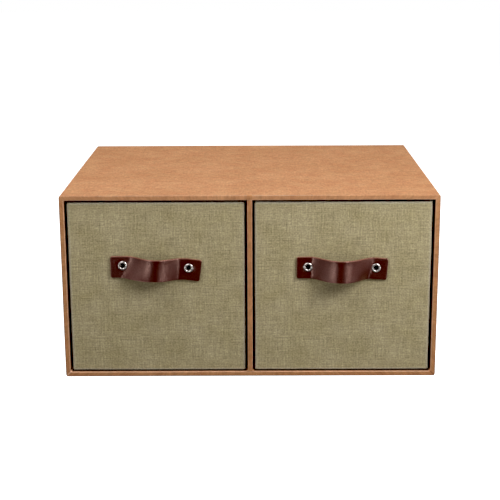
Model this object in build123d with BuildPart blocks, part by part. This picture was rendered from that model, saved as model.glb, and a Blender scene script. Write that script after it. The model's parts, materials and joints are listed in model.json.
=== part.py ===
from build123d import *
import math
import os

# Wrapped-board desktop box: a paper-covered case with two bays side by side, and in each bay a
# cloth-covered drawer with a leather strap pull. Millimetres, +Z up, the front faces -Y, and the
# origin is at the centre of the underside.

# Case
case_width = 340.0
case_depth = 275.0
case_height = 170.0
case_board = 4.0  # thickness of the case's panels and of the divider
case_edge_radius = 2.0  # long edges, from front to back
fold_radius = 0.5  # cover paper where it folds over a front edge

# Sheets glued to the boards
cover_paper = 0.25  # round the case
lining_paper = 0.25  # inside the bays and the drawers
backing_paper = 0.25  # over the back, under the base and under each drawer
cloth = 0.45  # round each drawer
turn_in = 15.0  # how far a cover is folded past an edge
backing_margin = 3.0  # from an edge to the backing sheet
bay_lining_setback = 2.0  # from the front to the bay's lining
drawer_lining_drop = 4.0  # from a drawer's rim to its lining

# Drawers
drawer_board = 2.8
drawer_edge_radius = 1.5
drawer_recess = 3.0  # drawer face behind the case's front
drawer_side_clearance = 1.75
drawer_top_clearance = 1.85
drawer_running_gap = 0.2
drawer_rear_clearance = 0.5

# Pulls: a strap on two hollow eyelets, each set on a washer inside the drawer
strap_width = 20.3
strap_thickness = 2.1
strap_corner_radius = 2.0
strap_rest = 1.0  # flat strap left between an eyelet and the bow
eyelet_bore = 4.4
eyelet_sheet = 0.35
eyelet_flange = 8.5
eyelet_clench = 7.4  # flange rolled over the washer
eyelet_hole_clearance = 0.05
washer_diameter = 9.5
washer_thickness = 0.4

# The pulls are fitted by hand, so each has its own place, slope and bow. shift is from the
# drawer's middle, height from its underside, spacing from eyelet to eyelet, tab from an eyelet to
# the strap's end, drop from the eyelets down to the strap's middle line, and the bows are how far
# the strap's inner face stands off the drawer at its upper and lower edge.
pulls = {
    "left": {
        "shift": -1.1,
        "height": 99.1,
        "slope": -2.4,
        "spacing": 59.6,
        "tab": 11.2,
        "drop": 1.4,
        "upper_bow": 10.5,
        "lower_bow": 12.0,
    },
    "right": {
        "shift": -0.7,
        "height": 98.0,
        "slope": -0.9,
        "spacing": 61.3,
        "tab": 10.5,
        "drop": 0.7,
        "upper_bow": 15.2,
        "lower_bow": 16.5,
    },
}


def inset(limits, amount):
    """The limits along one axis, each moved inwards by amount."""
    return (limits[0] + amount, limits[1] - amount)


def middle(limits):
    return (limits[0] + limits[1]) / 2


def length(limits):
    return limits[1] - limits[0]


# Limits along each axis, from the outside inwards
outer_x = (-case_width / 2, case_width / 2)
outer_y = (-case_depth / 2, case_depth / 2)
outer_z = (backing_paper, case_height)
wrap_y = (outer_y[0], outer_y[1] - backing_paper)
panel_x = inset(outer_x, cover_paper)
panel_y = inset(wrap_y, cover_paper)
panel_z = inset(outer_z, cover_paper)
room_x = inset(panel_x, case_board)
room_y = (panel_y[0], panel_y[1] - case_board)
room_z = inset(panel_z, case_board)
divider_x = (-case_board / 2, case_board / 2)
turn_in_end = outer_y[0] + turn_in
window_x = inset(room_x, cover_paper)
window_z = inset(room_z, cover_paper)

bays = {
    "left": (room_x[0], divider_x[0]),
    "right": (divider_x[1], room_x[1]),
}


def block(x, y, z, mode=Mode.ADD):
    """A box between two limits on each axis, in the part being built."""
    with BuildSketch(Plane.XY.offset(z[0])) as plan:
        with Locations((middle(x), middle(y))):
            Rectangle(length(x), length(y))
    extrude(plan.sketch, amount=length(z), mode=mode)


def upright(y):
    """The upright plane at depth y that faces the front, with +Z up in it."""
    return Plane.XZ.offset(-y)


def save(piece, name):
    piece.part.label = name
    export_step(piece.part, f"parts/{name}.step")


def make_case_panels():
    """Top and bottom panels over the whole width, the other panels between them."""
    corner = case_edge_radius - cover_paper
    flat_panels = {
        "case_top_board": ((room_z[1], panel_z[1]), -1),
        "case_bottom_board": ((panel_z[0], room_z[0]), 0),
    }
    for name, (limits_z, outer_side) in flat_panels.items():
        with BuildPart() as panel:
            block(panel_x, panel_y, limits_z)
            fillet(panel.edges().filter_by(Axis.Y).group_by(Axis.Z)[outer_side], corner)
        save(panel, name)

    upright_panels = {
        "case_left_board": ((panel_x[0], room_x[0]), panel_y),
        "case_right_board": ((room_x[1], panel_x[1]), panel_y),
        "case_back_board": (room_x, (room_y[1], panel_y[1])),
        "case_divider_board": (divider_x, room_y),
    }
    for name, (limits_x, limits_y) in upright_panels.items():
        with BuildPart() as panel:
            block(limits_x, limits_y, room_z)
        save(panel, name)


def make_case_wrap():
    """Cover paper round the four sides, folded into the bays in front and over the back."""
    with BuildPart() as case_wrap:
        with BuildSketch(upright(wrap_y[1])):
            with Locations((0, middle(outer_z))):
                RectangleRounded(length(outer_x), length(outer_z), case_edge_radius)
        extrude(amount=length(wrap_y))
        fillet(case_wrap.faces().sort_by(Axis.Y)[0].edges(), fold_radius)
        with BuildSketch(upright(panel_y[1])):
            with Locations((0, middle(panel_z))):
                RectangleRounded(length(panel_x), length(panel_z), case_edge_radius - cover_paper)
        extrude(amount=length(panel_y), mode=Mode.SUBTRACT)
        block(room_x, (panel_y[0], turn_in_end), room_z)
        block(window_x, (wrap_y[0], turn_in_end), window_z, Mode.SUBTRACT)
        block(divider_x, (panel_y[0], turn_in_end), room_z, Mode.SUBTRACT)
        back_window_y = (panel_y[1], wrap_y[1])
        block(inset(outer_x, turn_in), back_window_y, inset(outer_z, turn_in), Mode.SUBTRACT)
    save(case_wrap, "case_wrap")


def make_divider_wrap():
    """A strip of cover paper folded round the divider's front edge."""
    strip_x = inset(divider_x, -cover_paper)
    with BuildPart() as divider_wrap:
        block(strip_x, (outer_y[0], turn_in_end), window_z)
        front_edges = divider_wrap.edges().filter_by(Axis.Z).group_by(Axis.Y)[0]
        fillet(front_edges, fold_radius)
        block(divider_x, (panel_y[0], turn_in_end), window_z, Mode.SUBTRACT)
    save(divider_wrap, "divider_wrap")


def make_case_sheets():
    """The sheet over the back, which steps down inside the turned-over wrap, and the base's."""
    sheet_x = inset(outer_x, backing_margin)
    hollow_x = inset(outer_x, turn_in)
    hollow_z = inset(outer_z, turn_in)
    with BuildPart() as case_back_sheet:
        block(sheet_x, (wrap_y[1], outer_y[1]), inset(outer_z, backing_margin))
        block(hollow_x, (panel_y[1], wrap_y[1]), hollow_z)
        dent_y = (panel_y[1] + backing_paper, outer_y[1])
        block(inset(hollow_x, backing_paper), dent_y, inset(hollow_z, backing_paper), Mode.SUBTRACT)
    save(case_back_sheet, "case_back_sheet")

    with BuildPart() as case_base_sheet:
        block(sheet_x, inset(outer_y, backing_margin), (0, backing_paper))
    save(case_base_sheet, "case_base_sheet")


def make_bay_lining(side):
    """Dark paper on a bay's four sides and back, stepped over the turned-in wrap in front."""
    bay_x = bays[side]
    front_y = outer_y[0] + bay_lining_setback
    step = cover_paper + lining_paper
    with BuildPart() as lining:
        block(bay_x, (turn_in_end, room_y[1]), room_z)
        block(inset(bay_x, cover_paper), (front_y, turn_in_end), window_z)
        hollow_y = (turn_in_end + lining_paper, room_y[1] - lining_paper)
        block(inset(bay_x, lining_paper), hollow_y, inset(room_z, lining_paper), Mode.SUBTRACT)
        mouth_y = (front_y, turn_in_end + lining_paper)
        block(inset(bay_x, step), mouth_y, inset(room_z, step), Mode.SUBTRACT)
    save(lining, f"{side}_bay_lining")


# A drawer's limits along each axis follow from its bay and the clearances round it
lined_z = inset(window_z, lining_paper)
drawer_y = (outer_y[0] + drawer_recess, room_y[1] - lining_paper - drawer_rear_clearance)
drawer_z = (lined_z[0] + drawer_running_gap, lined_z[1] - drawer_top_clearance)
cloth_z = (drawer_z[0] + backing_paper, drawer_z[1])
shell_y = inset(drawer_y, cloth)
shell_z = inset(cloth_z, cloth)
well_y = inset(shell_y, drawer_board)
floor_top = shell_z[0] + drawer_board
turn_in_foot = drawer_z[1] - turn_in


def drawer_limits_x(side):
    clear = cover_paper + lining_paper + drawer_side_clearance
    return inset(bays[side], clear)


def pull_face(side):
    """The drawer's face at the middle between the eyelets, along the strap, facing the front."""
    pull = pulls[side]
    slope = math.radians(pull["slope"])
    place = (middle(bays[side]) + pull["shift"], drawer_y[0], drawer_z[0] + pull["height"])
    return Plane(origin=place, x_dir=(math.cos(slope), 0, math.sin(slope)), z_dir=(0, -1, 0))


def eyelet_places(side):
    half = pulls[side]["spacing"] / 2
    return Locations((-half, 0), (half, 0))


def eyelet_holes(side, near, far):
    """Holes for the two eyelets, from near to far in front of the drawer's face."""
    radius = eyelet_bore / 2 + eyelet_sheet + eyelet_hole_clearance
    with BuildSketch(pull_face(side).offset(near)) as holes:
        with eyelet_places(side):
            Circle(radius)
    extrude(holes.sketch, amount=far - near, mode=Mode.SUBTRACT)


def make_drawer_boards(side):
    """Front and back boards over the whole width, the others between them."""
    shell_x = inset(drawer_limits_x(side), cloth)
    well_x = inset(shell_x, drawer_board)
    corner = drawer_edge_radius - cloth
    name = f"{side}_drawer"

    with BuildPart() as front_board:
        block(shell_x, (shell_y[0], well_y[0]), shell_z)
        inner_face = front_board.faces().sort_by(Axis.Y)[-1]
        fillet(front_board.edges() - inner_face.edges(), corner)
        eyelet_holes(side, -cloth - drawer_board, -cloth)
    save(front_board, f"{name}_front_board")

    with BuildPart() as back_board:
        block(shell_x, (well_y[1], shell_y[1]), shell_z)
        inner_face = back_board.faces().sort_by(Axis.Y)[0]
        fillet(back_board.edges() - inner_face.edges(), corner)
    save(back_board, f"{name}_back_board")

    side_boards = {
        "left_side_board": ((shell_x[0], well_x[0]), 0),
        "right_side_board": ((well_x[1], shell_x[1]), -1),
    }
    for board_name, (limits_x, outer_side) in side_boards.items():
        with BuildPart() as side_board:
            block(limits_x, well_y, shell_z)
            fillet(side_board.edges().filter_by(Axis.Y).group_by(Axis.X)[outer_side], corner)
        save(side_board, f"{name}_{board_name}")

    with BuildPart() as bottom_board:
        block(well_x, well_y, (shell_z[0], floor_top))
    save(bottom_board, f"{name}_bottom_board")


def make_drawer_cover(side):
    """Cloth round the four walls, folded over the rim and under the base."""
    drawer_x = drawer_limits_x(side)
    shell_x = inset(drawer_x, cloth)
    well_x = inset(shell_x, drawer_board)
    with BuildPart(mode=Mode.PRIVATE) as shell:
        block(shell_x, shell_y, shell_z)
        fillet(shell.edges(), drawer_edge_radius - cloth)
    with BuildPart() as cloth_wrap:
        block(drawer_x, drawer_y, cloth_z)
        fillet(cloth_wrap.edges(), drawer_edge_radius)
        add(shell.part, mode=Mode.SUBTRACT)
        block(well_x, well_y, (turn_in_foot, shell_z[1]))
        block(inset(well_x, cloth), inset(well_y, cloth), (turn_in_foot, cloth_z[1]), Mode.SUBTRACT)
        base_z = (cloth_z[0], shell_z[0])
        block(inset(drawer_x, turn_in), inset(drawer_y, turn_in), base_z, Mode.SUBTRACT)
        eyelet_holes(side, -2 * cloth - drawer_board, 0)
    save(cloth_wrap, f"{side}_drawer_cloth_wrap")


def make_drawer_sheets(side):
    """Paper lining of the walls, stepped over the folded-in cloth, the floor's and the base's."""
    drawer_x = drawer_limits_x(side)
    well_x = inset(drawer_x, cloth + drawer_board)
    step = cloth + lining_paper
    lining_top = drawer_z[1] - drawer_lining_drop
    step_z = turn_in_foot - lining_paper
    lower_x = inset(well_x, lining_paper)
    lower_y = inset(well_y, lining_paper)
    with BuildPart() as wall_lining:
        block(well_x, well_y, (floor_top, turn_in_foot))
        block(inset(well_x, cloth), inset(well_y, cloth), (turn_in_foot, lining_top))
        block(lower_x, lower_y, (floor_top, step_z), Mode.SUBTRACT)
        block(inset(well_x, step), inset(well_y, step), (step_z, lining_top), Mode.SUBTRACT)
        eyelet_holes(side, -step - drawer_board, -cloth - drawer_board)
    save(wall_lining, f"{side}_drawer_wall_lining")

    with BuildPart() as floor_liner:
        block(lower_x, lower_y, (floor_top, floor_top + lining_paper))
    save(floor_liner, f"{side}_drawer_floor_liner")

    hollow_x = inset(drawer_x, turn_in)
    hollow_y = inset(drawer_y, turn_in)
    with BuildPart() as base_sheet:
        sheet_z = (drawer_z[0], cloth_z[0])
        block(inset(drawer_x, backing_margin), inset(drawer_y, backing_margin), sheet_z)
        block(hollow_x, hollow_y, (cloth_z[0], shell_z[0]))
        dent_z = (drawer_z[0], shell_z[0] - backing_paper)
        block(inset(hollow_x, backing_paper), inset(hollow_y, backing_paper), dent_z, Mode.SUBTRACT)
    save(base_sheet, f"{side}_drawer_base_sheet")


def strap_outline(pull, bow):
    """Edge-on outline of a strap whose inner face stands off by bow: tabs joined by tangent arcs."""
    half_reach = pull["spacing"] / 2 + pull["tab"]
    half_span = pull["spacing"] / 2 - eyelet_flange / 2 - strap_rest
    turn = 2 * math.degrees(math.atan(bow / half_span))
    radius = half_span / (2 * math.sin(math.radians(turn)))
    half_thickness = strap_thickness / 2
    for face_y, growth in ((0, half_thickness), (-strap_thickness, -half_thickness)):
        tab = Line((-half_reach, face_y), (-half_span, face_y))
        rise = JernArc(tab @ 1, tab % 1, radius + growth, -turn)
        crest = JernArc(rise @ 1, rise % 1, radius - growth, 2 * turn)
        fall = JernArc(crest @ 1, crest % 1, radius + growth, -turn)
        Line(fall @ 1, (half_reach, face_y))
    for end_x in (-half_reach, half_reach):
        Line((end_x, 0), (end_x, -strap_thickness))


def make_strap(side):
    """Leather strap, bowed between its eyelets and more at its lower edge than at its upper."""
    pull = pulls[side]
    face = pull_face(side)
    edge_on = Plane(origin=face.origin, x_dir=face.x_dir, z_dir=face.y_dir)
    lower_edge = -strap_width / 2 - pull["drop"]
    upper_edge = strap_width / 2 - pull["drop"]
    with BuildPart() as handle_strap:
        for level, bow in ((lower_edge, pull["lower_bow"]), (upper_edge, pull["upper_bow"])):
            with BuildSketch(edge_on.offset(level)):
                with BuildLine():
                    strap_outline(pull, bow)
                make_face()
        loft(ruled=True)
        fillet(handle_strap.edges().filter_by(Axis.Y), strap_corner_radius)
        eyelet_holes(side, 0, strap_thickness)
    save(handle_strap, f"{side}_drawer_handle_strap")


def make_eyelets(side):
    """Hollow eyelets, rolled over the strap in front and over a washer inside the drawer."""
    wall = cloth + drawer_board + lining_paper + washer_thickness
    bore = eyelet_bore / 2
    with BuildPart(mode=Mode.PRIVATE) as eyelet:
        with BuildSketch(Plane.XZ):
            with BuildLine():
                for end_z, rim, away in (
                    (strap_thickness, eyelet_flange / 2, 1),
                    (-wall, eyelet_clench / 2, -1),
                ):
                    roll = (rim - bore) / 2
                    centre = bore + roll
                    inner_roll = roll - eyelet_sheet
                    ThreePointArc((bore, end_z), (centre, end_z + away * roll), (rim, end_z))
                    ThreePointArc(
                        (bore + eyelet_sheet, end_z),
                        (centre, end_z + away * inner_roll),
                        (rim - eyelet_sheet, end_z),
                    )
                    Line((rim - eyelet_sheet, end_z), (rim, end_z))
                for radius in (bore, bore + eyelet_sheet):
                    Line((radius, -wall), (radius, strap_thickness))
            make_face()
        revolve(axis=Axis.Z)
    with BuildPart(pull_face(side)) as handle_eyelets:
        with eyelet_places(side):
            add(eyelet.part)
    save(handle_eyelets, f"{side}_drawer_handle_eyelets")

    with BuildPart() as eyelet_washers:
        with BuildSketch(pull_face(side).offset(-wall)):
            with eyelet_places(side):
                Circle(washer_diameter / 2)
                Circle(bore + eyelet_sheet + eyelet_hole_clearance, mode=Mode.SUBTRACT)
        extrude(amount=washer_thickness)
    save(eyelet_washers, f"{side}_drawer_eyelet_washers")


os.makedirs("parts", exist_ok=True)
make_case_panels()
make_case_wrap()
make_divider_wrap()
make_case_sheets()
for side in bays:
    make_bay_lining(side)
    make_drawer_boards(side)
    make_drawer_cover(side)
    make_drawer_sheets(side)
    make_strap(side)
    make_eyelets(side)
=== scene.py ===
import json
import math

import bmesh
import bpy
from mathutils import Matrix, Vector, noise


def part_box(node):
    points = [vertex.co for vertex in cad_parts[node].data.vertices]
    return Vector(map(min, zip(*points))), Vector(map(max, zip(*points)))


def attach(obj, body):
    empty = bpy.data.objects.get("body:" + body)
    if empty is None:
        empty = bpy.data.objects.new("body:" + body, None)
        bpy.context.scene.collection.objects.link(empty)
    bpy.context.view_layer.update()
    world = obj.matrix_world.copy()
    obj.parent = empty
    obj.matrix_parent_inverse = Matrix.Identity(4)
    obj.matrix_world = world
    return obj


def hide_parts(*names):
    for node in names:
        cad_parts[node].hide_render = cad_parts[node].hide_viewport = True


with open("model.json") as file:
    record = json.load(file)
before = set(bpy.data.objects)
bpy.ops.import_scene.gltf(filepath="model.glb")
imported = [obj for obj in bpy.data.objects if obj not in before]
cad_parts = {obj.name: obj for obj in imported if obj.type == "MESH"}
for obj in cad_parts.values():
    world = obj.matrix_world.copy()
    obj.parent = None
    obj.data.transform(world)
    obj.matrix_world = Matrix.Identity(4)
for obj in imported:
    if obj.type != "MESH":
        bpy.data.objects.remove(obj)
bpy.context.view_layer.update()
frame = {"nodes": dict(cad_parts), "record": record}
nodes = frame["nodes"]

# A desktop box in metres, +Z up, its front facing -Y: a case covered in tan paper, and two drawers
# covered in green linen, each with a leather strap on two hollow eyelets. Sizes come from the frame
# or are named here.
mm = 0.001
sides = ("left", "right")

# Folds and sheets
turn_in = 15.0 * mm  # how far a cover is folded past an edge
case_edge_radius = 2.0 * mm
window_radius = 0.4 * mm  # upper inner corners of the case's front
window_fillet = 2.0 * mm  # lower inner corners, where the paper bridges the corner
front_fold = 0.9 * mm
back_fold = 0.6 * mm
back_fold_wear = 0.5
drawer_edge_radius = 1.5 * mm
least_cloth_radius = 0.3 * mm  # inside a fold
rim_fold = 1.0 * mm
board_wave = 0.10 * mm  # how far covered board is from flat
board_wave_length = 70 * mm
inner_wear_and_highlight = 0.6  # goes from -1, painted shade, to 1, rubbed pale or painted highlight; the inner fold is partly rubbed and partly a painted highlight
# Painted shade on the front's outer fold, where it turns away from the light
outer_fold_shade = -0.7
edge_wear = 0.35
# Painted highlight on the front's upper strip, as if the lit top carried down over its fold
top_front_highlight = 0.08
pale_rim_width = 2.4 * mm  # of the cloth beside an edge, lightened partly as rubbing and partly as a painted highlight
seam_highlight_and_shade = (0.0, 0.0, 0.9, -0.9)  # upper right, upper left, lower left and lower right corners: a painted highlight at the lower left and a painted shade at the lower right
cloth_wave = 0.14 * mm
cloth_wave_length = 38 * mm

# The tab at the divider's head, which is folded over the case's upper edge
tab_length = 6 * mm
tab_lift = 0.12 * mm  # off the paper below it
tab_sink = 0.02 * mm  # of its underside into that paper
tab_overlap = 0.4 * mm  # of its lower end, above the window
tab_edge = 0.25 * mm  # the width of the faces beside its two cut edges

# Pulls
strap_edge_radius = 0.55 * mm
strap_corner_radius = 2.0 * mm
strap_curl = 0.8 * mm  # how far the bow's long edges curl outwards
eyelet_bore = 4.4 * mm
bore_clearance = 0.4 * mm  # round the eyelet's barrel, from its bore
eyelet_flange = 8.5 * mm
eyelet_clench = 7.4 * mm
eyelet_sheet = 0.35 * mm
eyelet_dent = 0.28 * mm  # how far an eyelet's rim presses the leather in
dent_width = 0.9 * mm
tab_turn_length = 9 * mm  # inside an eyelet, over which a tab's turn fades out
end_thinness = 0.62  # of the strap's thickness, left at its two ends
# Per pull: where the bow begins, is highest and ends, along its lower and its upper edge, from the
# middle between the eyelets; how far the upper edge stands off the drawer; and how far each tab is
# turned on its eyelet, in degrees anticlockwise seen from the front
pulls = {
    "left": {
        "lower_span": (-31.0 * mm, -2.0 * mm, 19.5 * mm),
        "upper_span": (-22.5 * mm, -1.0 * mm, 22.0 * mm),
        "upper_bow": 10.5 * mm,
        "left_turn": 2.4,
        "right_turn": -5.0,
    },
    "right": {
        "lower_span": (-26.5 * mm, -1.0 * mm, 22.0 * mm),
        "upper_span": (-27.0 * mm, -1.5 * mm, 27.5 * mm),
        "upper_bow": 15.2 * mm,
        "left_turn": 0.9,
        "right_turn": -3.4,
    },
}
lower_fullness = 1.2  # 1 is a parabola, less is fuller, more is flatter at its ends
upper_fullness = 1.6


# ---------------------------------------------------------------- camera and light

light_target = (0.0, -0.10, 0.09)
floor_reach = 6.0
studio_dimness = (0.02, 0.02, 0.021)
floor_clearance = 0.05 * mm  # under the box
floor_bounce = 0.10
black_level = (0.005, 0.010, 0.010)  # the photograph's deep shadows


def add_camera():
    """The photograph's viewpoint: a long lens, a little above the box."""
    data = bpy.data.cameras.new("camera")
    data.sensor_width = 36.0
    data.lens = 87.82
    camera = bpy.data.objects.new("camera", data)
    bpy.context.scene.collection.objects.link(camera)
    place = Vector((5.73, -1199.05, 387.57)) * mm
    yaw, pitch, roll = (math.radians(angle) for angle in (0.298, 14.145, -0.265))
    turned = Matrix.Rotation(yaw, 4, "Z") @ Matrix.Rotation(math.pi / 2 - pitch, 4, "X")
    camera.matrix_world = Matrix.Translation(place) @ turned @ Matrix.Rotation(roll, 4, "Z")
    bpy.context.scene.camera = camera


def add_softbox(name, azimuth, elevation, distance, size, power):
    """A rectangular light that faces the box. Azimuth 0 is in front, and 90 is to the right."""
    target = Vector(light_target)
    across, up = math.radians(azimuth), math.radians(elevation)
    away = Vector((math.sin(across) * math.cos(up), -math.cos(across) * math.cos(up), math.sin(up)))
    data = bpy.data.lights.new(name, "AREA")
    data.shape = "RECTANGLE"
    data.size, data.size_y = size
    data.energy = power
    light = bpy.data.objects.new(name, data)
    light.location = target + away * distance
    light.rotation_euler = away.to_track_quat("Z", "Y").to_euler()
    light.visible_camera = False
    bpy.context.scene.collection.objects.link(light)


def camera_sees(tree):
    """1 where the camera looks straight at something, and 0 for all other light."""
    return tree.nodes.new("ShaderNodeLightPath").outputs["Is Camera Ray"]


def add_world():
    """White to the camera, and a dim studio to the surfaces."""
    world = bpy.data.worlds.new("studio")
    world.use_nodes = True
    bpy.context.scene.world = world
    tree = world.node_tree
    seen = tree.nodes.new("ShaderNodeMix")
    seen.data_type = "RGBA"
    seen.inputs["A"].default_value = (*studio_dimness, 1.0)
    seen.inputs["B"].default_value = (1.0, 1.0, 1.0, 1.0)
    tree.links.new(camera_sees(tree), seen.inputs["Factor"])
    tree.links.new(seen.outputs["Result"], tree.nodes["Background"].inputs["Color"])


def add_floor():
    """A pale sweep that the camera sees as white and that throws little light back at the box. The
    strip lights reach below it, and it doesn't stop them."""
    mesh = bpy.data.meshes.new("floor")
    ways = ((-1, -1), (1, -1), (1, 1), (-1, 1))
    corners = [(x * floor_reach, y * floor_reach, -floor_clearance) for x, y in ways]
    mesh.from_pydata(corners, [], [(0, 1, 2, 3)])
    floor = bpy.data.objects.new("floor", mesh)
    bpy.context.scene.collection.objects.link(floor)
    finish = Finish("floor_paint")
    seen = camera_sees(finish.tree)
    finish.set("Base Color", finish.mix(seen, (floor_bounce,) * 3, (0.9, 0.9, 0.9)))
    finish.set("Roughness", 0.9)
    finish.set("Emission Color", (1.0, 1.0, 1.0, 1.0))
    finish.set("Emission Strength", seen)
    mesh.materials.append(finish.material)
    floor.visible_glossy = False
    floor.visible_shadow = False


# ---------------------------------------------------------------- materials


class Finish:
    """A material that is built up from nodes. Sizes in it are in millimetres."""

    def __init__(self, name, uv=None):
        self.material = bpy.data.materials.new(name)
        self.material.use_nodes = True
        self.tree = self.material.node_tree
        self.shader = self.tree.nodes["Principled BSDF"]
        if uv:
            place = self.add("UVMap", uv_map=uv).outputs["UV"]
        else:
            place = self.add("TexCoord").outputs["Object"]
        scaled = self.add("VectorMath", {0: place, 1: (1000, 1000, 1000)}, operation="MULTIPLY")
        self.place = scaled.outputs[0]

    def add(self, kind, inputs=None, **settings):
        """A node with these settings. Its inputs are values, or outputs to link."""
        node = self.tree.nodes.new("ShaderNode" + kind)
        for name, value in settings.items():
            setattr(node, name, value)
        for socket, value in (inputs or {}).items():
            self.feed(node.inputs[socket], value)
        return node

    def feed(self, socket, value):
        if isinstance(value, bpy.types.NodeSocket):
            self.tree.links.new(value, socket)
        else:
            socket.default_value = value

    def set(self, name, value):
        self.feed(self.shader.inputs[name], value)

    def math(self, operation, first, second=0.0):
        return self.add("Math", {0: first, 1: second}, operation=operation).outputs[0]

    def speckle(self, size, detail=2.0, stretch=(1, 1, 1), contrast=1.0):
        """Noise about 0.5 whose spots are about size wide, longer along each axis by stretch."""
        scale = tuple(1 / (size * longer) for longer in stretch)
        place = self.add("VectorMath", {0: self.place, 1: scale}, operation="MULTIPLY").outputs[0]
        spots = self.add("TexNoise", {"Vector": place, "Scale": 1.0, "Detail": detail}).outputs[0]
        if contrast == 1.0:
            return spots
        limits = {"From Min": 0.5 - 0.5 / contrast, "From Max": 0.5 + 0.5 / contrast}
        return self.add("MapRange", {"Value": spots, **limits}).outputs[0]

    def mix(self, factor, first, second, blend="MIX"):
        node = self.add("Mix", data_type="RGBA", blend_type=blend)
        self.feed(node.inputs[0], factor)
        for socket, value in ((node.inputs[6], first), (node.inputs[7], second)):
            self.feed(socket, value if isinstance(value, bpy.types.NodeSocket) else (*value, 1.0))
        return node.outputs[2]

    def lighten(self, colour, pattern, amount):
        """The colour times 1 - amount to 1 + amount, as the pattern goes from 0 to 1."""
        limits = {"To Min": 1 - amount, "To Max": 1 + amount}
        factor = self.add("MapRange", {"Value": pattern, **limits}).outputs[0]
        scaled = self.add("VectorMath", {0: colour, "Scale": factor}, operation="SCALE")
        return scaled.outputs[0]

    def attribute(self, name):
        return self.add("Attribute", attribute_name=name).outputs["Fac"]

    def between(self, pattern, low, high):
        return self.add("MapRange", {"Value": pattern, "To Min": low, "To Max": high}).outputs[0]

    def bump(self, height, depth, below=None):
        """Relief of this height pattern, depth millimetres from 0 to 1, over another relief."""
        inputs = {"Height": height, "Distance": depth * mm, "Strength": 1.0}
        if below is not None:
            inputs["Normal"] = below
        return self.add("Bump", inputs).outputs[0]


def cover_paper(name, uv=None):
    """Tan leathery paper: mottled in streaks across the sheet, with soft clouds and red-brown blotches.
    Its folds are lightened, partly as rubbing and partly as a painted highlight, or darkened as a
    painted shade."""
    finish = Finish(name, uv)
    clouds = finish.speckle(45, detail=3, contrast=2.0)
    mottle = finish.speckle(2.8, detail=3, stretch=(2.0, 1.6, 1), contrast=2.6)
    dapples = finish.speckle(1.7, detail=1, stretch=(1, 4, 1), contrast=2.4)
    streaks = finish.speckle(1.4, detail=2, stretch=(4, 1, 1), contrast=2.2)
    grain = finish.speckle(0.45, detail=2, contrast=1.6)
    blotches = finish.speckle(14, detail=2, stretch=(1.2, 1.3, 1), contrast=3.0)
    colour = finish.mix(clouds, (0.385, 0.185, 0.077), (0.450, 0.226, 0.102))
    colour = finish.mix(finish.math("MULTIPLY", blotches, 0.42), colour, (0.340, 0.124, 0.048))
    colour = finish.lighten(colour, mottle, 0.12)
    colour = finish.lighten(colour, dapples, 0.13)
    colour = finish.lighten(colour, streaks, 0.05)
    colour = finish.lighten(colour, grain, 0.05)
    if uv:
        # Lightened where worn is above 0, partly as rubbed paper and partly as a painted highlight; darkened
        # where it is below 0, as a painted shade.
        worn = finish.attribute("worn")
        rubbed = finish.math("MULTIPLY", worn, finish.between(mottle, 0.55, 0.95))
        colour = finish.mix(rubbed, colour, (0.840, 0.520, 0.360))
        painted_shade = finish.math("MULTIPLY", worn, -1.0)
        colour = finish.mix(painted_shade, colour, (0.150, 0.062, 0.030))
    finish.set("Base Color", colour)
    finish.set("Roughness", finish.between(streaks, 0.60, 0.78))
    finish.set("Specular IOR Level", 0.25)
    relief = finish.bump(mottle, 0.030)
    relief = finish.bump(streaks, 0.020, relief)
    finish.set("Normal", finish.bump(grain, 0.012, relief))
    return finish.material


def dark_paper(name, colour, specks):
    """Uncoated dark lining paper with a little fibre in it."""
    finish = Finish(name)
    fibres = finish.speckle(0.5, detail=3, stretch=(1, 4, 1), contrast=1.6)
    clouds = finish.speckle(30, detail=3, contrast=1.6)
    shade = finish.mix(finish.math("MULTIPLY", fibres, 0.4), colour, specks)
    finish.set("Base Color", finish.lighten(shade, clouds, 0.2))
    finish.set("Roughness", finish.between(fibres, 0.80, 0.95))
    finish.set("Specular IOR Level", 0.25)
    finish.set("Normal", finish.bump(fibres, 0.03))
    return finish.material


def greyboard(name):
    """Raw board of waste paper: grey-brown pulp with darker and lighter flecks."""
    finish = Finish(name)
    pulp = finish.speckle(2.5, detail=6, contrast=1.4)
    flecks = finish.speckle(0.8, detail=2, stretch=(2, 1, 1), contrast=3.5)
    colour = finish.mix(pulp, (0.34, 0.31, 0.27), (0.46, 0.43, 0.38))
    finish.set("Base Color", finish.lighten(colour, flecks, 0.15))
    finish.set("Roughness", finish.between(pulp, 0.85, 0.95))
    finish.set("Specular IOR Level", 0.2)
    finish.set("Normal", finish.bump(pulp, 0.06))
    return finish.material


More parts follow.
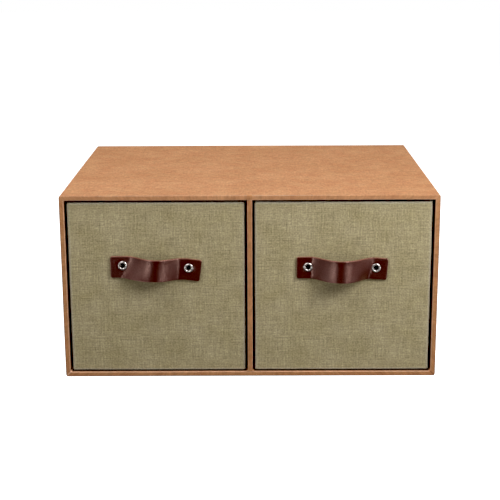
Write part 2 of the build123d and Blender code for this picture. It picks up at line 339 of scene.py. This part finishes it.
def book_cloth(name, uv):
    """Sage linen: uneven threads both ways, thick slubs here and there, and edges lightened partly
    as fading and partly as a painted highlight.
    """
    finish = Finish(name, uv)
    across = finish.speckle(0.78, detail=1, stretch=(16, 1, 1), contrast=1.7)
    upward = finish.speckle(0.74, detail=1, stretch=(1, 16, 1), contrast=1.7)
    slubs_across = finish.speckle(1.5, detail=1, stretch=(16, 1, 1), contrast=2.4)
    slubs_upward = finish.speckle(1.5, detail=1, stretch=(1, 16, 1), contrast=2.4)
    threads = finish.math("MULTIPLY", finish.math("ADD", across, upward), 0.5)
    slubs = finish.math("MULTIPLY", finish.math("ADD", slubs_across, slubs_upward), 0.5)
    fuzz = finish.speckle(0.5, detail=3, contrast=1.5)
    grain = finish.speckle(1.5, detail=1, contrast=2.6)
    clouds = finish.speckle(24, detail=4, contrast=2.4)
    colour = finish.mix(clouds, (0.310, 0.264, 0.142), (0.374, 0.320, 0.192))
    colour = finish.lighten(colour, threads, 0.32)
    colour = finish.lighten(colour, slubs, 0.16)
    colour = finish.lighten(colour, grain, 0.19)
    colour = finish.lighten(colour, fuzz, 0.05)
    # Lightened near the edges: partly rubbed cloth and partly a painted highlight
    worn = finish.math("MULTIPLY", finish.attribute("worn"), finish.between(grain, 0.55, 0.95))
    colour = finish.mix(worn, colour, (0.620, 0.585, 0.460))
    finish.set("Base Color", colour)
    finish.set("Roughness", finish.between(threads, 0.95, 0.80))
    finish.set("Specular IOR Level", 0.2)
    finish.set("Sheen Weight", 0.08)
    finish.set("Sheen Roughness", 0.5)
    relief = finish.bump(slubs, 0.14)
    finish.set("Normal", finish.bump(threads, 0.12, relief))
    return finish.material


def strap_leather(name):
    """Oxblood leather: fine grain, a waxed satin face and paler cut edges."""
    finish = Finish(name)
    pores = finish.speckle(0.42, detail=3, contrast=1.8)
    creases = finish.speckle(1.0, detail=3, contrast=2.2)
    clouds = finish.speckle(14, detail=3, contrast=1.8)
    colour = finish.mix(clouds, (0.026, 0.0024, 0.0016), (0.046, 0.0046, 0.0028))
    colour = finish.lighten(colour, pores, 0.30)
    colour = finish.mix(finish.attribute("worn"), colour, (0.190, 0.062, 0.042))
    finish.set("Base Color", colour)
    finish.set("Roughness", finish.between(pores, 0.25, 0.36))
    finish.set("IOR", 1.8)
    finish.set("Specular IOR Level", finish.between(creases, 0.70, 1.0))
    finish.set("Specular Tint", (1.0, 0.62, 0.52, 1.0))
    relief = finish.bump(creases, 0.06)
    finish.set("Normal", finish.bump(pores, 0.04, relief))
    return finish.material


def eyelet_nickel(name):
    """Plated steel, polished, with fine rubbed marks."""
    finish = Finish(name)
    rubbed = finish.speckle(0.25, detail=3, stretch=(3, 1, 1), contrast=1.8)
    tarnish = finish.speckle(2.0, detail=3, contrast=1.8)
    colour = finish.mix(tarnish, (0.66, 0.61, 0.56), (0.86, 0.82, 0.78))
    finish.set("Base Color", colour)
    finish.set("Metallic", 1.0)
    finish.set("Roughness", finish.between(rubbed, 0.24, 0.36))
    finish.set("Normal", finish.bump(rubbed, 0.003))
    return finish.material


# ---------------------------------------------------------------- building pieces


def make_piece(name, mesh_data, body, node, material, weighted=True):
    """An object from a bmesh, which rides on a body and stands for a CAD node."""
    bmesh.ops.recalc_face_normals(mesh_data, faces=mesh_data.faces)
    mesh = bpy.data.meshes.new(name)
    mesh_data.to_mesh(mesh)
    mesh_data.free()
    for face in mesh.polygons:
        face.use_smooth = True
    mesh.materials.append(material)
    piece = bpy.data.objects.new(name, mesh)
    bpy.context.scene.collection.objects.link(piece)
    if weighted:
        normals = piece.modifiers.new("normals", "WEIGHTED_NORMAL")
        normals.weight = 80
    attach(piece, body)
    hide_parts(node)
    return piece


def smooth(value):
    value = min(1.0, max(0.0, value))
    return value * value * (3 - 2 * value)


def rounded_path(corners, spacing, steps=5):
    """A path through right-angled corners (x, y, radius), as (point, fold) pairs, where fold is 1
    in the middle of a corner's arc and 0 on the straights. Points are about spacing apart. A fourth
    value of a corner, if it has one, scales its fold."""
    points = [Vector(corner[:2]) for corner in corners]
    path = []
    start = points[0]
    for index in range(1, len(points)):
        inward = (points[index - 1] - points[index]).normalized()
        radius = corners[index][2] if index < len(points) - 1 else 0.0
        wear = corners[index][3] if len(corners[index]) > 3 else 1.0
        end = points[index] + inward * radius
        count = max(1, round((end - start).length / spacing))
        path += [(start.lerp(end, step / count), 0.0) for step in range(count)]
        start = end
        if radius:
            onward = (points[index + 1] - points[index]).normalized()
            centre = end + onward * radius
            for step in range(steps):
                angle = math.pi / 2 * step / steps
                turned = (end - centre) * math.cos(angle) - inward * radius * math.sin(angle)
                path.append((centre + turned, wear * math.sin(2 * angle)))
            start = points[index] + onward * radius
    path.append((points[-1], 0.0))
    return path


def rounded_loop(half_width, half_height, radii, counts, steps=6):
    """Points round a rectangle with rounded corners, anticlockwise from its lower right corner, each
    with how far it is into a corner's arc, from 0 at the arc's ends to 1 at its middle, and which
    corner that is.
    radii are of the upper right, upper left, lower left and lower right corners, and counts are
    the divisions of the right, upper, left and lower sides."""
    ways = [Vector((0, 1)), Vector((-1, 0)), Vector((0, -1)), Vector((1, 0))]
    spots = [Vector((1, -1)), Vector((1, 1)), Vector((-1, 1)), Vector((-1, -1))]
    half = Vector((half_width, half_height))
    points = []
    for side, way in enumerate(ways):
        before, after = radii[side - 1], radii[side]
        corner, following = spots[side] * half, spots[(side + 1) % 4] * half
        start, end = corner + way * before, following - way * after
        points += [(start.lerp(end, step / counts[side]), 0.0, side) for step in range(counts[side] + 1)]
        onward = ways[(side + 1) % 4]
        centre = end + onward * after
        for step in range(1, steps):
            angle = math.pi / 2 * step / steps
            point = centre - onward * after * math.cos(angle) + way * after * math.sin(angle)
            points.append((point, math.sin(2 * angle), side))
    return points


def sheet_round(size, section, radii_at, counts, to_frame, wear_at):
    """A sheet folded round a rectangular shell, as a closed mesh. section is a closed path of
    (inset, along) points with folds, followed round a rectangle of this size, and to_frame turns
    (across, up, along) into a place in the frame. wear_at gives the wear and painted light, from -1
    for painted shade to 1 for rubbed pale or painted highlight, from a point in the rectangle, its
    place along, its fold, and how far it is into which corner."""
    mesh_data = bmesh.new()
    uv_layer = mesh_data.loops.layers.uv.new("sheet")
    worn_layer = mesh_data.verts.layers.float.new("worn")
    rows = []
    for (inset, along), fold in section:
        loop = rounded_loop(size[0] / 2 - inset, size[1] / 2 - inset, radii_at(inset), counts)
        row = []
        for point, bend, corner in loop:
            vert = mesh_data.verts.new(to_frame(point.x, point.y, along))
            vert[worn_layer] = wear_at(point, along, fold, bend, corner)
            row.append(vert)
        rows.append(row)
    outline = [point for point, _, _ in rounded_loop(size[0] / 2, size[1] / 2, radii_at(0.0), counts)]
    columns = len(outline)
    round_lengths = [0.0]
    for index in range(columns):
        step = (outline[(index + 1) % columns] - outline[index]).length
        round_lengths.append(round_lengths[-1] + step)
    along_lengths = [0.0]
    for (first, _), (second, _) in zip(section, section[1:] + section[:1]):
        along_lengths.append(along_lengths[-1] + (second - first).length)
    for row in range(len(rows)):
        for column in range(columns):
            corners = ((row, column), (row, column + 1), (row + 1, column + 1), (row + 1, column))
            verts = [rows[r % len(rows)][c % columns] for r, c in corners]
            face = mesh_data.faces.new(verts)
            for loop, (r, c) in zip(face.loops, corners):
                loop[uv_layer].uv = (round_lengths[c], along_lengths[r])
    return mesh_data


def wave(mesh_data, length, amount, shift):
    """Moves the mesh a little, as covered board is never quite flat. Shift keeps the sheets' waves
    apart. Blender sets this noise's offsets from the clock, so the waves differ from run to run."""
    start = Vector((shift, shift, shift))
    for vert in mesh_data.verts:
        vert.co += noise.noise_vector(vert.co / length + start) * amount


# ---------------------------------------------------------------- case

case_low, case_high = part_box("case_wrap")
left_board_low, left_board_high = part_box("case_left_board")
paper = left_board_low.x - case_low.x
wall = left_board_high.x - left_board_low.x + 2 * paper
front_y, back_y = case_low.y, case_high.y
case_size = (case_high.x - case_low.x, case_high.z - case_low.z)
case_middle_z = (case_low.z + case_high.z) / 2
window_high_z = case_high.z - wall


def case_section(skin):
    """The cover's path at a depth of skin below its face, from inside the bays to the back."""
    return rounded_path(
        [
            (wall - skin, front_y + turn_in),
            (wall - skin, front_y + skin, front_fold - skin, inner_wear_and_highlight),
            (skin, front_y + skin, front_fold - skin, outer_fold_shade),
            (skin, back_y - skin, back_fold - skin, back_fold_wear),
            (turn_in, back_y - skin),
        ],
        spacing=6 * mm,
    )


def case_wear(point, along, fold, bend, corner):
    """The front's folds carry their wear and painted light, and above the window the front gets a painted
    highlight and no painted shade. Its lower corners get a painted highlight at the mitre seam on the left
    and a painted shade at the one on the right, and its long edges are a little rubbed.
    """
    if along < front_y + front_fold:
        if point.y > case_size[1] / 2 - wall - paper:
            # The upper strip: a painted highlight, and the outer fold's painted shade left out
            return top_front_highlight + max(0.0, fold) * (1 - top_front_highlight)
        # The lower corners: a painted highlight at the left seam and a painted shade at the right one
        return fold + seam_highlight_and_shade[corner] * bend**3
    return fold if fold else edge_wear * bend


def case_radii(inset):
    outer = case_edge_radius - inset
    upper = max(outer, window_radius)
    lower = max(outer, window_fillet * min(1.0, inset / (wall - paper)))
    return (upper, upper, lower, lower)


def make_case_wrap(material):
    section = case_section(0.0) + case_section(paper)[::-1]
    mesh_data = sheet_round(
        case_size,
        section,
        case_radii,
        counts=(40, 80, 40, 80),
        to_frame=lambda across, up, along: (across, along, case_middle_z + up),
        wear_at=case_wear,
    )
    wave(mesh_data, board_wave_length, board_wave, shift=3.0)
    make_piece("case_cover", mesh_data, "case", "case_wrap", material)


def join_rows(mesh_data, uv_layer, rows):
    """Faces between closed rows of points, and over the first and the last row. A row goes out
    along one skin and back along the other, so its ends are closed with faces across it."""
    count = len(rows[0])
    for first, second in zip(rows, rows[1:]):
        for index in range(count):
            following = (index + 1) % count
            verts = (first[index], first[following], second[following], second[index])
            face = mesh_data.faces.new(verts)
            for loop in face.loops:
                loop[uv_layer].uv = (loop.vert.co.x + loop.vert.co.y, loop.vert.co.z)
    for row in (rows[0], rows[-1]):
        for index in range(count // 2 - 1):
            mesh_data.faces.new((row[index], row[index + 1], row[count - index - 2], row[count - index - 1]))


def make_divider_wrap(material):
    """The strip over the divider's edge, which widens into a small fillet at its foot and ends in
    a tab that is folded over the case's upper edge."""
    low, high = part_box("divider_wrap")
    half = high.x
    mesh_data = bmesh.new()
    uv_layer = mesh_data.loops.layers.uv.new("sheet")
    worn_layer = mesh_data.verts.layers.float.new("worn")

    def strip(skin, spread):
        reach = half + spread - skin
        fold = front_fold - skin
        return rounded_path(
            [
                (-reach, high.y),
                (-reach, low.y + skin, fold),
                (reach, low.y + skin, fold),
                (reach, high.y),
            ],
            spacing=20 * mm,
        )

    fillet_steps, plain_steps = 6, 60
    fillet_high = low.z + window_fillet
    plain = high.z - low.z - window_fillet
    levels = [low.z + window_fillet * step / fillet_steps for step in range(fillet_steps)]
    levels += [fillet_high + plain * step / plain_steps for step in range(plain_steps + 1)]
    rows = []
    for level in levels:
        below = max(0.0, 1 - (level - low.z) / window_fillet)
        spread = window_fillet * (1 - math.sqrt(1 - below**2))
        path = strip(0.0, spread) + strip(paper, spread)[::-1]
        row = []
        for (x, y), fold in path:
            vert = mesh_data.verts.new((x, y, level))
            vert[worn_layer] = edge_wear * fold
            row.append(vert)
        rows.append(row)
    join_rows(mesh_data, uv_layer, rows)

    def tab(skin):
        return rounded_path(
            [
                (low.y + skin, window_high_z + tab_overlap),
                (low.y + skin, case_high.z - skin, front_fold - skin),
                (low.y + tab_length, case_high.z - skin),
            ],
            spacing=0.8 * mm,
        )

    outline = tab(-tab_lift) + tab(tab_sink)[::-1]
    rims = []
    for x in (-half, -half + tab_edge, 0.0, half - tab_edge, half):
        rims.append([mesh_data.verts.new((x, y, z)) for (y, z), _ in outline])
    join_rows(mesh_data, uv_layer, rims)
    make_piece("divider_cover", mesh_data, "case", "divider_wrap", material)


# ---------------------------------------------------------------- drawers


def make_cloth(side, shift, material):
    """Cloth round a drawer's walls, folded over the rim and under the base."""
    node = f"{side}_drawer_cloth_wrap"
    low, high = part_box(node)
    board_low, board_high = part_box(f"{side}_drawer_front_board")
    cloth = board_low.x - low.x
    rim = board_high.y - low.y + cloth
    centre = (low + high) / 2
    size = (high.x - low.x, high.y - low.y)

    def section(skin):
        """The path at this depth. The face needs close rows for its waves and wear."""
        return rounded_path(
            [
                (rim - skin, high.z - turn_in),
                (rim - skin, high.z - skin, rim_fold - skin),
                (skin, high.z - skin, drawer_edge_radius - skin),
                (skin, low.z + skin, drawer_edge_radius - skin),
                (turn_in, low.z + skin),
            ],
            spacing=1.2 * mm if skin == 0 else 8 * mm,
        )

    def radii(inset):
        return (max(drawer_edge_radius - inset, least_cloth_radius),) * 4

    def wear(point, along, fold, bend, corner):
        # Lightened near the edges, partly as rubbing and partly as a painted highlight
        from_edge = size[0] / 2 - abs(point.x) + size[1] / 2 - abs(point.y)
        from_end = min(high.z - along, along - low.z)
        return smooth(1 - min(from_edge, from_end) / pale_rim_width)

    mesh_data = sheet_round(
        size,
        section(0.0) + section(cloth)[::-1],
        radii,
        counts=(70, 90, 70, 110),
        to_frame=lambda across, up, along: (centre.x + across, centre.y + up, along),
        wear_at=wear,
    )
    wave(mesh_data, cloth_wave_length, cloth_wave, shift)
    piece = make_piece(f"{side}_drawer_cloth", mesh_data, f"{side}_drawer", node, material)
    drill(piece, Pull(side))


class Pull:
    """Where a drawer's pull sits, its directions, and its strap's sizes."""

    def __init__(self, side):
        low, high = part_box(f"{side}_drawer_handle_eyelets")
        strap_low, strap_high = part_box(f"{side}_drawer_handle_strap")
        rise = high.z - low.z - eyelet_flange
        run = high.x - low.x - eyelet_flange
        slope = -math.atan2(rise, run)
        self.spacing = math.hypot(rise, run)
        self.face_y = strap_high.y
        self.origin = Vector(((low.x + high.x) / 2, self.face_y, (low.z + high.z) / 2))
        self.along = Vector((math.cos(slope), 0, math.sin(slope)))
        self.up = Vector((-math.sin(slope), 0, math.cos(slope)))
        # The strap's box is width cos + length sin high, and length cos + width sin wide
        strap = strap_high - strap_low
        cos, sin = self.along.x, abs(self.along.z)
        self.half_width = (strap.z * cos - strap.x * sin) / (cos**2 - sin**2) / 2
        self.half_reach = (strap.x * cos - strap.z * sin) / (cos**2 - sin**2) / 2
        # The eyelet's front roll stands on the strap
        roll = (eyelet_flange - eyelet_bore) / 4
        self.thickness = self.face_y - low.y - roll

    def place(self, along, up, out):
        return self.origin + self.along * along + self.up * up + Vector((0, -out, 0))


def strap_ring(half_width, half_thickness):
    """The strap's section: (across, out, cut) from its middle, where cut is 1 on a cut edge."""
    flat = half_width - strap_edge_radius
    face_steps, edge_steps = 22, 6
    face = [flat - 2 * flat * step / face_steps for step in range(face_steps + 1)]
    angles = [math.pi / 2 + math.pi * step / edge_steps for step in range(1, edge_steps)]
    edge = [(strap_edge_radius * math.cos(a), half_thickness * math.sin(a)) for a in angles]
    ring = [(across, half_thickness, 0.0) for across in face]
    ring += [(across - flat, out, 1.0) for across, out in edge]
    return ring + [(-across, -out, cut) for across, out, cut in ring]


def strap_line(own, share, lower_bow, half_reach):
    """The strap's middle line at a share of its width from the lower edge: (along, out) pairs from
    end to end. The tabs lie flat, and corners between tab and bow are eased."""
    toward_lower = (1 - share) ** 2
    start, peak, end = (
        upper + (lower - upper) * toward_lower
        for lower, upper in zip(own["lower_span"], own["upper_span"])
    )
    bow = lower_bow + (own["upper_bow"] - lower_bow) * share
    curl = strap_curl * abs(2 * share - 1) ** 3
    fullness = lower_fullness + (upper_fullness - lower_fullness) * share
    tab_steps, bow_steps, end_steps = 24, 72, 10
    corner = strap_corner_radius
    ends = [corner * (1 - math.cos(math.pi / 2 * step / end_steps)) for step in range(end_steps)]
    left_tab, right_tab = start + half_reach - corner, half_reach - corner - end
    line = [(-half_reach + back, 0.0) for back in ends]
    line += [(start - left_tab * (1 - step / tab_steps), 0.0) for step in range(tab_steps)]
    for step in range(bow_steps + 1):
        way = 2 * step / bow_steps - 1
        along = peak + way * (end - peak if way > 0 else peak - start)
        rise = (1 - way**2) ** fullness
        line.append((along, bow * rise + curl * smooth(rise)))
    line += [(end + right_tab * step / tab_steps, 0.0) for step in range(1, tab_steps + 1)]
    line += [(half_reach - back, 0.0) for back in ends[::-1]]
    easings = 12
    for _ in range(easings):
        eased = line[:]
        for index in range(end_steps + 1, len(line) - end_steps - 1):
            around = (line[index - 1], line[index], line[index], line[index + 1])
            eased[index] = tuple(sum(point[axis] for point in around) / 4 for axis in (0, 1))
        line = eased
    return line


def make_strap(side, material):
    """The strap: flat tabs under the eyelets, and a bow between them that stands further off, and
    is fuller, at its lower edge."""
    node = f"{side}_drawer_handle_strap"
    low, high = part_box(node)
    pull = Pull(side)
    own = pulls[side]
    thickness, half_width, half_reach = pull.thickness, pull.half_width, pull.half_reach
    lower_bow = high.y - low.y - thickness - strap_curl
    drop = (pull.origin - (low + high) / 2).z

    mesh_data = bmesh.new()
    worn_layer = mesh_data.verts.layers.float.new("worn")
    columns = []
    for across, out, cut in strap_ring(half_width, thickness / 2):
        share = (across + half_width) / (2 * half_width)
        line = strap_line(own, share, lower_bow, half_reach)
        column = []
        for index, (along, stand) in enumerate(line):
            before, after = line[max(0, index - 1)], line[min(len(line) - 1, index + 1)]
            heading = math.atan2(after[1] - before[1], after[0] - before[0])
            from_end = half_reach - abs(along)
            rounding = strap_corner_radius - min(from_end, strap_corner_radius)
            corner_loss = strap_corner_radius - math.sqrt(strap_corner_radius**2 - rounding**2)
            end_share = min(1.0, from_end / strap_edge_radius)
            roundness = math.sqrt(1 - (1 - end_share) ** 2)
            thinned = out * (end_thinness + (1 - end_thinness) * roundness)
            along -= math.sin(heading) * thinned
            stand += thickness / 2 + math.cos(heading) * thinned
            up = across * (half_width - corner_loss) / half_width - drop
            eyelet = math.copysign(pull.spacing / 2, along)
            offset = Vector((along - eyelet, up))
            if out > 0:
                from_rim = (offset.length - eyelet_flange / 2) / dent_width
                stand -= eyelet_dent * math.exp(-(from_rim**2))
            in_tab = smooth((abs(along) - pull.spacing / 2) / tab_turn_length + 1)
            turn = own["left_turn"] if along < 0 else own["right_turn"]
            offset = Matrix.Rotation(math.radians(turn) * in_tab, 2) @ offset
            vert = mesh_data.verts.new(pull.place(eyelet + offset.x, offset.y, stand))
            vert[worn_layer] = cut
            column.append(vert)
        columns.append(column)
    for first, second in zip(columns, columns[1:] + columns[:1]):
        for index in range(len(first) - 1):
            mesh_data.faces.new((first[index], second[index], second[index + 1], first[index + 1]))
    for end in (0, -1):
        mesh_data.faces.new([column[end] for column in columns])
    body = f"{side}_drawer"
    strap = make_piece(f"{side}_strap", mesh_data, body, node, material, weighted=False)
    drill(strap, pull)


def drill(piece, pull):
    """Cuts the eyelets' bores through a piece."""
    radius = eyelet_bore / 2 + bore_clearance
    mesh_data = bmesh.new()
    turned = Matrix.Rotation(math.pi / 2, 4, "X")
    for eyelet in (-pull.spacing / 2, pull.spacing / 2):
        matrix = Matrix.Translation(pull.place(eyelet, 0, 0)) @ turned
        bmesh.ops.create_cone(
            mesh_data,
            cap_ends=True,
            segments=40,
            radius1=radius,
            radius2=radius,
            depth=30 * mm,
            matrix=matrix,
        )
    mesh = bpy.data.meshes.new("cutter")
    mesh_data.to_mesh(mesh)
    mesh_data.free()
    cutter = bpy.data.objects.new("cutter", mesh)
    bpy.context.scene.collection.objects.link(cutter)
    bores = piece.modifiers.new("bores", "BOOLEAN")
    bores.operation = "DIFFERENCE"
    bores.object = cutter
    bpy.context.view_layer.update()
    cut = bpy.data.meshes.new_from_object(piece.evaluated_get(bpy.context.evaluated_depsgraph_get()))
    piece.modifiers.clear()
    piece.data = cut
    bpy.data.objects.remove(cutter)


def make_eyelets(side, material):
    """Two hollow eyelets turned as one fine profile, rolled over the strap and over the washer."""
    node = f"{side}_drawer_handle_eyelets"
    low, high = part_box(node)
    pull = Pull(side)
    bore = eyelet_bore / 2
    front_roll = (eyelet_flange / 2 - bore) / 2
    back_roll = (eyelet_clench / 2 - bore) / 2
    front_out = pull.face_y - low.y - front_roll
    back_out = pull.face_y - high.y + back_roll

    def half_round(middle, radius, out, way, first, last):
        """Half a roll about a middle, from one angle to another, outwards where way is 1."""
        steps = 16
        angles = [math.radians(first + (last - first) * step / steps) for step in range(steps + 1)]
        return [(middle + radius * math.cos(a), out + way * radius * math.sin(a)) for a in angles]

    front_middle, back_middle = bore + front_roll, bore + back_roll
    profile = half_round(front_middle, front_roll, front_out, 1, 180, 0)
    profile += half_round(front_middle, front_roll - eyelet_sheet, front_out, 1, 0, 180)
    profile += half_round(back_middle, back_roll - eyelet_sheet, back_out, -1, 180, 0)
    profile += half_round(back_middle, back_roll, back_out, -1, 0, 180)

    mesh_data = bmesh.new()
    segments = 72
    for eyelet in (-pull.spacing / 2, pull.spacing / 2):
        rings = []
        for segment in range(segments):
            angle = 2 * math.pi * segment / segments
            ring = []
            for radius, out in profile:
                spot = pull.place(eyelet + radius * math.cos(angle), radius * math.sin(angle), out)
                ring.append(mesh_data.verts.new(spot))
            rings.append(ring)
        for first, second in zip(rings, rings[1:] + rings[:1]):
            for index in range(len(profile)):
                following = (index + 1) % len(profile)
                mesh_data.faces.new((first[index], first[following], second[following], second[index]))
    make_piece(f"{side}_eyelets", mesh_data, f"{side}_drawer", node, material)


# ---------------------------------------------------------------- the whole

add_camera()
add_world()
add_floor()
add_softbox("key", 50, 36, 0.72, (0.28, 0.28), 4.2)
add_softbox("fill", -48, 54, 0.72, (0.5, 0.5), 3.0)
add_softbox("right_box", 72, 4, 1.3, (0.5, 0.9), 1.4)
add_softbox("left_box", -62, 4, 1.3, (0.6, 0.9), 1.3)
add_softbox("top_box", 185, 60, 1.3, (1.2, 0.6), 13)
add_softbox("right_strip", 41, -10, 1.3, (0.18, 0.50), 1.6)
add_softbox("left_strip", -38, -10, 1.3, (0.15, 0.50), 2.0)

finishes = {
    "greyboard": greyboard("greyboard"),
    "cover_paper": cover_paper("cover_paper", uv="sheet"),
    "backing_paper": cover_paper("backing_paper"),
    "bay_lining": dark_paper("bay_lining", (0.012, 0.008, 0.006), (0.03, 0.02, 0.015)),
    "book_cloth": book_cloth("book_cloth", uv="sheet"),
    "drawer_lining": dark_paper("drawer_lining", (0.020, 0.016, 0.012), (0.05, 0.04, 0.03)),
    "strap_leather": strap_leather("strap_leather"),
    "eyelet_nickel": eyelet_nickel("eyelet_nickel"),
}
slots = {part["node"]: part["material_slot"] for part in frame["record"]["subparts"]}
for name, node in nodes.items():
    node.data.materials.clear()
    node.data.materials.append(finishes[slots[name]])

make_case_wrap(finishes["cover_paper"])
make_divider_wrap(finishes["cover_paper"])
for shift, side in enumerate(sides, start=5):
    make_cloth(side, shift, finishes["book_cloth"])
    make_strap(side, finishes["strap_leather"])
    make_eyelets(side, finishes["eyelet_nickel"])

view = bpy.context.scene.view_settings
view.view_transform = "Standard"
view.look = "None"
view.use_curve_mapping = True
view.curve_mapping.black_level = black_level
view.curve_mapping.update()
